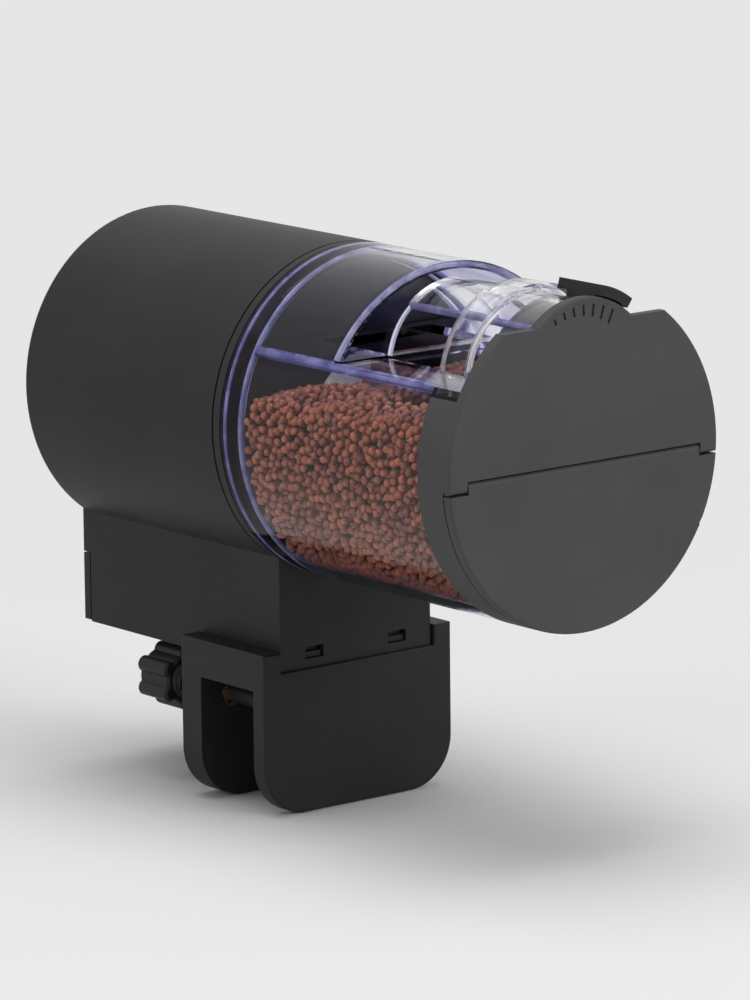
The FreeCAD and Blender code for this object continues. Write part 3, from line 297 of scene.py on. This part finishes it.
def food_finish():
    """Baked food: each pellet has its own tone, mottled and slightly oily."""
    material, tree, shader, place = new_material("food_finish")
    tone = tree.nodes.new("ShaderNodeAttribute")
    tone.attribute_name = "tone"
    mottle = noise(tree, place, 900.0, 4.0, 0.6)
    share = math_node(tree, "ADD", math_node(tree, "MULTIPLY", tone.outputs["Fac"], 0.75),
                      math_node(tree, "MULTIPLY", mottle, 0.4))
    colour = mix_colour(tree, share, (0.12, 0.023, 0.010, 1), (0.43, 0.115, 0.050, 1))
    tree.links.new(colour, shader.inputs["Base Color"])
    tree.links.new(ramp(tree, mottle, 0.3, 0.7, 0.28, 0.5), shader.inputs["Roughness"])
    bump(tree, shader, noise(tree, place, 2200.0, 3.0), 0.5, 0.00008)
    return material


def metal(name, colour, rough, streak=(1.0, 1.0, 1.0), scale=1500.0):
    """Metal with fine drawn or turned streaks."""
    material, tree, shader, place = new_material(name)
    stretch = tree.nodes.new("ShaderNodeMapping")
    stretch.inputs["Scale"].default_value = streak
    tree.links.new(place, stretch.inputs["Vector"])
    lines = noise(tree, stretch.outputs["Vector"], scale, 4.0)
    shader.inputs["Metallic"].default_value = 1.0
    tree.links.new(mix_colour(tree, lines, tuple(c * 0.8 for c in colour) + (1,), (*colour, 1)),
                   shader.inputs["Base Color"])
    tree.links.new(ramp(tree, lines, 0.3, 0.7, rough * 0.7, rough * 1.3), shader.inputs["Roughness"])
    bump(tree, shader, lines, 0.15, 0.00005)
    return material


def see_through_plastic_and_highlight(name, deep, bright, cover):
    """Polished, partly see-through plastic that lets light straight through, faintly cloudy; it makes the
    screen's pane and the painted highlight beads along the clear parts' edges.
    """
    material, tree, shader, place = new_material(name)
    cloud = noise(tree, place, 220.0, 3.0)
    tree.links.new(mix_colour(tree, ramp(tree, cloud, 0.35, 0.65), (*deep, 1), (*bright, 1)),
                   shader.inputs["Base Color"])
    tree.links.new(ramp(tree, cloud, 0.3, 0.7, 0.10, 0.22), shader.inputs["Roughness"])
    shader.inputs["Alpha"].default_value = cover
    return material


FINISHES = {
    "shell_plastic": moulded_plastic("shell_black", (0.012, 0.012, 0.0125), (0.017, 0.017, 0.018), 0.50),
    "cap_plastic": moulded_plastic("cap_black", (0.050, 0.050, 0.051), (0.058, 0.058, 0.059), 0.55,
                                   grain=3200.0, relief=0.2),
    "knob_plastic": moulded_plastic("knob_black", (0.014, 0.014, 0.015), (0.022, 0.022, 0.023), 0.42,
                                    grain=3500.0, relief=0.18),
    "pad_rubber": moulded_plastic("pad_black", (0.020, 0.020, 0.020), (0.030, 0.030, 0.030), 0.8),
    "button_rubber": moulded_plastic("button_grey", (0.36, 0.37, 0.39), (0.42, 0.43, 0.45), 0.55,
                                     grain=3200.0, relief=0.2, dust=0.05),
    "gear_nylon": moulded_plastic("natural_nylon", (0.62, 0.61, 0.56), (0.70, 0.69, 0.64), 0.4, dust=0.03),
    "bush_plastic": moulded_plastic("natural_acetal", (0.60, 0.60, 0.58), (0.68, 0.68, 0.66), 0.4, dust=0.03),
    "board_laminate": moulded_plastic("board_green", (0.02, 0.15, 0.06), (0.03, 0.20, 0.09), 0.35, dust=0.03),
    "chip_epoxy": moulded_plastic("epoxy_black", (0.02, 0.02, 0.02), (0.03, 0.03, 0.03), 0.6, dust=0.03),
    "cell_jacket": moulded_plastic("cell_film", (0.06, 0.07, 0.09), (0.08, 0.09, 0.11), 0.3,
                                   relief=0.05, dust=0.02),
    "screen_glass": moulded_plastic("screen_grey_green", (0.36, 0.41, 0.33), (0.40, 0.45, 0.37), 0.35,
                                    relief=0.03, dust=0.0),
    # painted highlights: violet and pale colours of the beads that stand in for the bright edge lines of the
    # clear parts
    "violet_edge_highlight": see_through_plastic_and_highlight("violet_edge_highlight", (0.22, 0.22, 0.46), (0.50, 0.50, 0.78), 0.55),
    "pale_edge_highlight": see_through_plastic_and_highlight("pale_edge_highlight", (0.42, 0.42, 0.56), (0.80, 0.80, 0.90), 0.38),
    "lcd_black": moulded_plastic("liquid_crystal", (0.035, 0.040, 0.035), (0.05, 0.055, 0.05), 0.4, dust=0.0),
    "brass": metal("turned_brass", (0.78, 0.56, 0.26), 0.3, (1.0, 6.0, 1.0)),
    "steel": metal("plated_steel", (0.62, 0.62, 0.64), 0.32),
    "spring_steel": metal("spring_nickel", (0.70, 0.69, 0.66), 0.25),
    "screen_pane": see_through_plastic_and_highlight("pane_clear", (0.30, 0.31, 0.31), (0.42, 0.43, 0.43), 0.16),
}
# clear plastics whose base colour carries painted violet edge light
CLEAR = {
    "drum_shell": clear_plastic("drum_clear", (0.985, 0.985, 0.995), (0.70, 0.70, 0.96), shell_painted_edge_light, 1.2),
    "drum_partition": clear_plastic("partition_clear", (0.975, 0.975, 0.99), (0.70, 0.69, 0.97),
                                    partition_painted_edge_light, 1.25),
    "gate_shell": clear_plastic("gate_clear", (0.985, 0.985, 0.995), (0.70, 0.67, 0.97), gate_painted_edge_light, 1.35),
}


def paint(piece, material):
    """Give a piece one material."""
    piece.data.materials.clear()
    piece.data.materials.append(material)


def finish_nodes():
    """Give every carried-over node its finish by its slot."""
    for row in frame["record"]["subparts"]:
        node = row["node"]
        material = CLEAR.get(node) or FINISHES[row["material_slot"]]
        paint(NODES[node], material)


# ---------------------------------------------------------------- making pieces
def only(items, kind):
    """Items of one bmesh kind from an operator's result."""
    return [item for item in items if isinstance(item, kind)]


def piece_from(name, bm, material, body, smooth=True):
    """Turn a bmesh into a finished piece that rides on a body."""
    mesh = bpy.data.meshes.new(name)
    bm.to_mesh(mesh)
    bm.free()
    if smooth:
        mesh.shade_smooth()
    piece = bpy.data.objects.new(name, mesh)
    bpy.context.scene.collection.objects.link(piece)
    paint(piece, material)
    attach(piece, body)
    return piece


def free_spot(cells, one, two, gap):
    """Whether the spots kept in the cells round this one are a gap away; a free one is kept too."""
    row = int(one // gap)
    column = int(two // gap)
    near = [cells.get((row + i, column + j)) for i in (-1, 0, 1) for j in (-1, 0, 1)]
    if any(spot and (spot[0] - one) ** 2 + (spot[1] - two) ** 2 < gap ** 2 for spot in near):
        return False
    cells[(row, column)] = (one, two)
    return True


def wall_spots(rng, radius, gap, start, end, y_low, y_high):
    """Random spots on the inside of the drum, about a gap apart; angles from straight down."""
    spots = []
    cells = {}
    tries = int((end - start) * radius * (y_high - y_low) / gap ** 2 * TRIES_PER_SPOT)
    for _ in range(tries):
        arc = rng.uniform(start * radius, end * radius)
        y = rng.uniform(y_low, y_high)
        if not free_spot(cells, arc, y, gap):
            continue
        turn = arc / radius
        spots.append(Vector((radius * math.sin(turn), y, AXIS_Z - radius * math.cos(turn))))
    return spots


def level(x, y):
    """Height of the food's surface: heaped a little towards the cap."""
    share = (DRUM_BACK - y) / (DRUM_BACK - CAP_FRONT)
    ripple = 0.0007 * math.sin(x * 260) + 0.0006 * math.sin(y * 330 + x * 90)
    return AXIS_Z + 0.0068 + 0.0034 * share + ripple


def top_spots(rng, gap, y_low, y_high, depth):
    """Random spots on the food's surface, beside the gate tube and clear of the wall."""
    spots = []
    cells = {}
    reach = DRUM_RADIUS - CLEAR_WALL - 0.0014
    tries = int(2 * reach * (y_high - y_low) / gap ** 2 * TRIES_PER_SPOT)
    for _ in range(tries):
        x = rng.uniform(-reach, reach)
        y = rng.uniform(y_low, y_high)
        z = level(x, y) - depth
        if math.hypot(x, z - AXIS_Z) > reach:
            continue
        if y < BULKHEAD_BACK + 0.002 and math.hypot(x, z - GATE_Z) < TUBE_RADIUS + TUBE_CLEARANCE:
            continue
        if free_spot(cells, x, y, gap):
            spots.append(Vector((x, y, z)))
    return spots


def pellet_batch(rng, spots):
    """Mesh of a few baked pellets, each turned, sized and toned a little differently."""
    bm = bmesh.new()
    tone = bm.verts.layers.float.new("tone")
    for spot in spots:
        size = Vector((rng.uniform(0.92, 1.16), rng.uniform(0.72, 0.88), rng.uniform(0.72, 0.86))) * MM
        axis = Vector((rng.gauss(0, 1), rng.gauss(0, 1), rng.gauss(0, 1) + 0.01)).normalized()
        turn = Matrix.Rotation(rng.uniform(0, math.tau), 4, axis)
        place = Matrix.Translation(spot) @ turn @ Matrix.Diagonal((*size, 1))
        made = bmesh.ops.create_uvsphere(bm, u_segments=8, v_segments=6, radius=1.0, matrix=place)
        shade = rng.random()
        for vert in made["verts"]:
            vert[tone] = shade
    batch = bpy.data.meshes.new("pellet_batch")
    bm.to_mesh(batch)
    bm.free()
    return batch


def pellets(name, rng, spots):
    """One piece of many pellets, joined from small batches."""
    whole = bmesh.new()
    for first in range(0, len(spots), BATCH):
        batch = pellet_batch(rng, spots[first:first + BATCH])
        whole.from_mesh(batch)
        bpy.data.meshes.remove(batch)
    return piece_from(name, whole, FOOD, "drum")


def food():
    """Food behind the drum's wall: two layers of pellets over a dark core, painted shade that stands in for
    the shadow deep between the pellets.
    """
    rng = random.Random(7)
    wall = DRUM_RADIUS - CLEAR_WALL
    outer_depth = 0.00112
    inner_depth = 0.0024
    shade_core_depth = 0.0033
    shade_core_top = AXIS_Z - 0.0056
    sweep = 2.05
    y_low = CAP_FRONT + 0.0042
    y_high = DRUM_BACK - RIM_DEPTH - 0.0009
    tops = top_spots(rng, PELLET_GAP, y_low, y_high, 0.0)
    tops += top_spots(rng, PELLET_GAP, y_low, y_high, 0.0013)
    outer = [s for s in wall_spots(rng, wall - outer_depth, PELLET_GAP, -sweep, sweep, y_low, y_high)
             if s.z < level(s.x, s.y) - 0.0004]
    inner = [s for s in wall_spots(rng, wall - inner_depth, PELLET_GAP, -sweep, sweep, y_low, y_high)
             if s.z < level(s.x, s.y) - 0.0012]
    ends = end_spots(rng, PELLET_GAP, y_low) + end_spots(rng, PELLET_GAP, y_low + 0.0011)
    pellets("food_left", rng, [s for s in outer if s.x < 0])
    pellets("food_right", rng, [s for s in outer if s.x >= 0])
    pellets("food_under_left", rng, [s for s in inner if s.x < 0])
    pellets("food_under_right", rng, [s for s in inner if s.x >= 0])
    pellets("food_top", rng, tops)
    pellets("food_end", rng, ends)
    # painted shade: a black core under the pellets stands in for the shade in the food's depth
    shade_core = bmesh.new()
    made = bmesh.ops.create_circle(shade_core, cap_ends=True, segments=72, radius=wall - shade_core_depth,
                                   matrix=Matrix.Translation((0, y_low + 0.0020, AXIS_Z))
                                   @ Matrix.Rotation(math.pi / 2, 4, "X"))
    swept = bmesh.ops.extrude_face_region(shade_core, geom=shade_core.faces[:])
    bmesh.ops.translate(shade_core, verts=only(swept["geom"], bmesh.types.BMVert),
                        vec=(0, y_high - y_low - 0.003, 0))
    cutting = bmesh.ops.bisect_plane(shade_core, geom=shade_core.verts[:] + shade_core.edges[:] + shade_core.faces[:],
                                     plane_co=(0, 0, shade_core_top), plane_no=(0, 0, 1), clear_outer=True)
    bmesh.ops.holes_fill(shade_core, edges=only(cutting["geom_cut"], bmesh.types.BMEdge))
    bmesh.ops.recalc_face_normals(shade_core, faces=shade_core.faces[:])
    piece_from("food_shade_core", shade_core, FINISHES["pad_rubber"], "drum", smooth=False)


def end_spots(rng, gap, y):
    """Random spots on the food's end face, seen when the fill door is open."""
    spots = []
    reach = DRUM_RADIUS - 0.0034
    for _ in range(END_TRIES):
        x = rng.uniform(-reach, reach)
        z = AXIS_Z + rng.uniform(-reach, 0.009)
        if math.hypot(x, z - AXIS_Z) > reach or math.hypot(x, z - GATE_Z) < TUBE_RADIUS + TUBE_CLEARANCE:
            continue
        if z > level(x, y) or any((s.x - x) ** 2 + (s.z - z) ** 2 < gap ** 2 for s in spots):
            continue
        spots.append(Vector((x, y, z)))
    return spots


# ---------------------------------------------------------------- painted highlights along the edges of the clear parts
def ring_bead(bm, radius, y, height, thick, start=0.0, sweep=math.tau):
    """Round bead on a circle about an axis along Y; angles from +Z towards +X."""
    turn = Matrix.Rotation(start, 4, "Y")
    place = Matrix.Translation((0, y, height)) @ turn @ Matrix.Translation((0, 0, radius))
    made = bmesh.ops.create_circle(bm, segments=BEAD_SIDES, radius=thick,
                                   matrix=place @ Matrix.Rotation(math.pi / 2, 4, "Y"))
    edges = list({edge for vert in made["verts"] for edge in vert.link_edges})
    whole = sweep >= math.tau
    spun = bmesh.ops.spin(bm, geom=made["verts"] + edges, cent=(0, y, height), axis=(0, 1, 0), angle=sweep,
                          steps=int(sweep / math.tau * RING_STEPS), use_merge=whole)
    if not whole:
        close_ends(bm, edges, spun["geom_last"])


def close_ends(bm, first, last):
    """Cap the two open ends of a bead."""
    for loop in (first, only(last, bmesh.types.BMEdge)):
        bmesh.ops.holes_fill(bm, edges=loop)


def straight_bead(bm, x, z, y_low, y_high, thick):
    """Round bead along Y."""
    place = Matrix.Translation((x, y_low, z)) @ Matrix.Rotation(math.pi / 2, 4, "X")
    made = bmesh.ops.create_circle(bm, segments=BEAD_SIDES, radius=thick, matrix=place)
    edges = list({edge for vert in made["verts"] for edge in vert.link_edges})
    drawn = bmesh.ops.extrude_edge_only(bm, edges=edges)
    verts = only(drawn["geom"], bmesh.types.BMVert)
    bmesh.ops.translate(bm, verts=verts, vec=(0, y_high - y_low, 0))
    far = [edge for edge in only(drawn["geom"], bmesh.types.BMEdge)
           if all(vert in verts for vert in edge.verts)]
    close_ends(bm, edges, far)


def bead_piece(name, bm, body, finish="violet_edge_highlight"):
    """Finish a set of painted highlight beads as one piece."""
    bmesh.ops.recalc_face_normals(bm, faces=bm.faces[:])
    return piece_from(name, bm, FINISHES[finish], body)


def painted_edge_highlights():
    """Painted highlights: violet and pale beads along the edges of the drum, its partition and the gate,
    standing in for the light those edges catch.
    """
    shelf_mid = AXIS_Z + (SHELF_TOP + SHELF_UNDER) / 2
    wall_mid = DRUM_RADIUS - CLEAR_WALL / 2
    bm = bmesh.new()
    for side in (-1, 1):
        straight_bead(bm, side * SHELF_EDGE_X, shelf_mid, CAP_EDGE + 0.0002, DRUM_BACK - RIM_DEPTH, 0.00095)
    bead_piece("shelf_edge_highlights", bm, "drum")

    bm = bmesh.new()
    ring_bead(bm, DRUM_RADIUS - 0.0008, DRUM_BACK - 0.0007, AXIS_Z, 0.00045)
    ring_bead(bm, DRUM_RADIUS - 0.0019, DRUM_BACK - RIM_DEPTH + 0.0004, AXIS_Z, 0.00050)
    bead_piece("rim_highlights", bm, "drum")

    bm = bmesh.new()
    reach = math.acos((SHELF_TOP + 0.0006) / wall_mid)
    ring_bead(bm, wall_mid, BULKHEAD_FRONT + 0.0006, AXIS_Z, 0.00055, -reach, 2 * reach)
    door = math.acos((SHELF_TOP + AXIS_Z - GATE_Z) / DOORWAY_RADIUS)
    ring_bead(bm, DOORWAY_RADIUS, BULKHEAD_FRONT + 0.0003, GATE_Z, 0.00030, -door, 2 * door)
    bead_piece("arch_highlights", bm, "drum", "pale_edge_highlight")

    bm = bmesh.new()
    hoop = math.radians(100)
    for y in (HOOP_BACK - 0.0004, HOOP_FRONT + 0.0004):
        ring_bead(bm, (TUBE_RADIUS + TUBE_INNER) / 2, y, GATE_Z, 0.00035, -hoop, 2 * hoop)
    bead_piece("hoop_highlights", bm, "drum", "pale_edge_highlight")

    bm = bmesh.new()
    turn = math.radians(GATE_EDGE)
    radius = (high("gate_shell").x - low("gate_shell").x) / 2 - 0.0008
    straight_bead(bm, radius * math.sin(turn), GATE_Z + radius * math.cos(turn),
                  low("gate_shell").y + 0.0004, high("gate_shell").y - 0.0004, 0.00072)
    bead_piece("gate_edge_highlight", bm, "gate")


# ---------------------------------------------------------------- display
SEGMENTS = {0: "abcdef", 1: "bc", 2: "abged", 3: "abgcd", 4: "fgbc"}
BARS = {"a": (0, 1, 0), "b": (0.5, 0.5, 1), "c": (0.5, -0.5, 1), "d": (0, -1, 0), "e": (-0.5, -0.5, 1),
        "f": (-0.5, 0.5, 1), "g": (0, 0, 0)}


def bar(bm, x, z, length, thick, upright, face):
    """One bar of a digit: a flat hexagon with a little depth."""
    turn = Matrix.Rotation(math.pi / 2 if upright else 0.0, 4, "Y")
    made = bmesh.ops.create_circle(bm, cap_ends=True, segments=6, radius=0.5)
    stretch = Matrix.Translation((x, face, z)) @ turn @ Matrix.Diagonal((length, 1, thick, 1))
    bmesh.ops.transform(bm, verts=made["verts"], matrix=stretch @ Matrix.Rotation(math.pi / 2, 4, "X"))
    faces = list({item for vert in made["verts"] for item in vert.link_faces})
    drawn = bmesh.ops.extrude_face_region(bm, geom=faces)
    bmesh.ops.translate(bm, verts=only(drawn["geom"], bmesh.types.BMVert), vec=(0, DIGIT_DEPTH, 0))


def digit(bm, number, x, z, height, face):
    """Seven-bar digit as seen from the panel's side, where +X is to the left."""
    half = height / 2
    for name in SEGMENTS[number]:
        across, upward, upright = BARS[name]
        bar(bm, x - across * height * 0.52, z + upward * half, half * 0.86, height * 0.11, upright, face)


def display():
    """Clock digits and small day marks behind the window."""
    bm = bmesh.new()
    face = high("lcd_display").y - DIGIT_DEPTH / 2
    middle = (high("lcd_window").z + low("lcd_window").z) / 2
    for number, x in ((1, 0.0105), (2, 0.0045), (0, -0.0045), (0, -0.0105)):
        digit(bm, number, x, middle + 0.0012, 0.0072, face)
    for z in (0.0026, -0.0002):
        bar(bm, 0.0, middle + z, 0.0009, 0.0009, False, face)
    for number in range(4):
        digit(bm, number + 1, 0.0102 - number * 0.0068, middle - 0.0052, 0.0022, face)
    bmesh.ops.recalc_face_normals(bm, faces=bm.faces[:])
    piece_from("display_digits", bm, FINISHES["lcd_black"], "housing", smooth=False)


# ---------------------------------------------------------------- studio
def studio():
    """Pale floor, soft lamps and a pale surround."""
    bm = bmesh.new()
    bmesh.ops.create_grid(bm, x_segments=8, y_segments=8, size=12.0,
                          matrix=Matrix.Translation((0, 0, low("clamp_bracket").z - 0.0002)))
    mesh = bpy.data.meshes.new("floor")
    bm.to_mesh(mesh)
    bm.free()
    floor = bpy.data.objects.new("floor", mesh)
    bpy.context.scene.collection.objects.link(floor)
    paint(floor, floor_paper())
    surround()
    softbox("key_lamp", (0.45, -1.7, 0.95), 1.1, 18.0)
    softbox("top_lamp", (-0.1, 0.1, 1.6), 1.2, 15.0)
    softbox("side_lamp", (-1.5, 0.5, 0.7), 0.8, 3.0)


def floor_paper():
    """Pale paper that fades, away from the feeder, to the even tone of the surround."""
    material, tree, shader, place = new_material("floor_paper")
    speck = noise(tree, place, 3.0, 3.0)
    tree.links.new(mix_colour(tree, speck, (0.78, 0.78, 0.78, 1), (0.80, 0.80, 0.80, 1)),
                   shader.inputs["Base Color"])
    shader.inputs["Roughness"].default_value = 0.9
    shader.inputs["Specular IOR Level"].default_value = 0.1
    x, y, z = split(tree, place)
    reach = math_node(tree, "SQRT", math_node(tree, "ADD", math_node(tree, "MULTIPLY", x, x),
                                              math_node(tree, "MULTIPLY", y, y)))
    glow = tree.nodes.new("ShaderNodeEmission")
    glow.inputs["Color"].default_value = PAPER
    blend = tree.nodes.new("ShaderNodeMixShader")
    tree.links.new(ramp(tree, reach, 0.12, 0.42), blend.inputs["Fac"])
    tree.links.new(shader.outputs[0], blend.inputs[1])
    tree.links.new(glow.outputs[0], blend.inputs[2])
    tree.links.new(blend.outputs[0], tree.nodes["Material Output"].inputs["Surface"])
    return material


def surround():
    """World that lights softly, and shows the paper's tone to the camera, in gloss and through glass."""
    world = bpy.data.worlds.new("surround")
    bpy.context.scene.world = world
    world.use_nodes = True
    tree = world.node_tree
    sky = tree.nodes["Background"]
    sky.inputs["Color"].default_value = PAPER
    rays = tree.nodes.new("ShaderNodeLightPath").outputs
    seen = math_node(tree, "MAXIMUM", rays["Is Camera Ray"],
                     math_node(tree, "MAXIMUM", rays["Is Glossy Ray"], rays["Is Transmission Ray"]))
    tree.links.new(ramp(tree, seen, 0.0, 1.0, 0.42, 1.0), sky.inputs["Strength"])


def softbox(name, place, side, power):
    """Square area lamp that looks at the feeder."""
    data = bpy.data.lights.new(name, "AREA")
    data.shape = "SQUARE"
    data.size = side
    data.energy = power
    lamp = bpy.data.objects.new(name, data)
    lamp.location = place
    lamp.rotation_mode = "QUATERNION"
    lamp.rotation_quaternion = (Vector(place) - Vector((0, -0.02, AXIS_Z))).to_track_quat("Z", "Y")
    bpy.context.scene.collection.objects.link(lamp)


def camera():
    """Long lens a little to the left of the cap and slightly above it."""
    azimuth = math.radians(-38.795)
    elevation = math.radians(11.497)
    roll = math.radians(-0.612)
    target = Vector((5.378, -11.5, 35.667)) * MM
    distance = 1.293744
    back = Vector((math.sin(azimuth) * math.cos(elevation), -math.cos(azimuth) * math.cos(elevation),
                   math.sin(elevation)))
    data = bpy.data.cameras.new("camera")
    data.sensor_width = 36.0
    data.lens = 230.2
    eye = bpy.data.objects.new("camera", data)
    eye.location = target + back * distance
    eye.rotation_mode = "QUATERNION"
    level_turn = (-back).to_track_quat("-Z", "Y")
    eye.rotation_quaternion = level_turn @ Matrix.Rotation(roll, 3, "Z").to_quaternion()
    bpy.context.scene.collection.objects.link(eye)
    bpy.context.scene.camera = eye
    bpy.context.scene.view_settings.view_transform = "Standard"


FOOD = food_finish()
camera()
studio()
finish_nodes()
painted_edge_highlights()
display()
food()
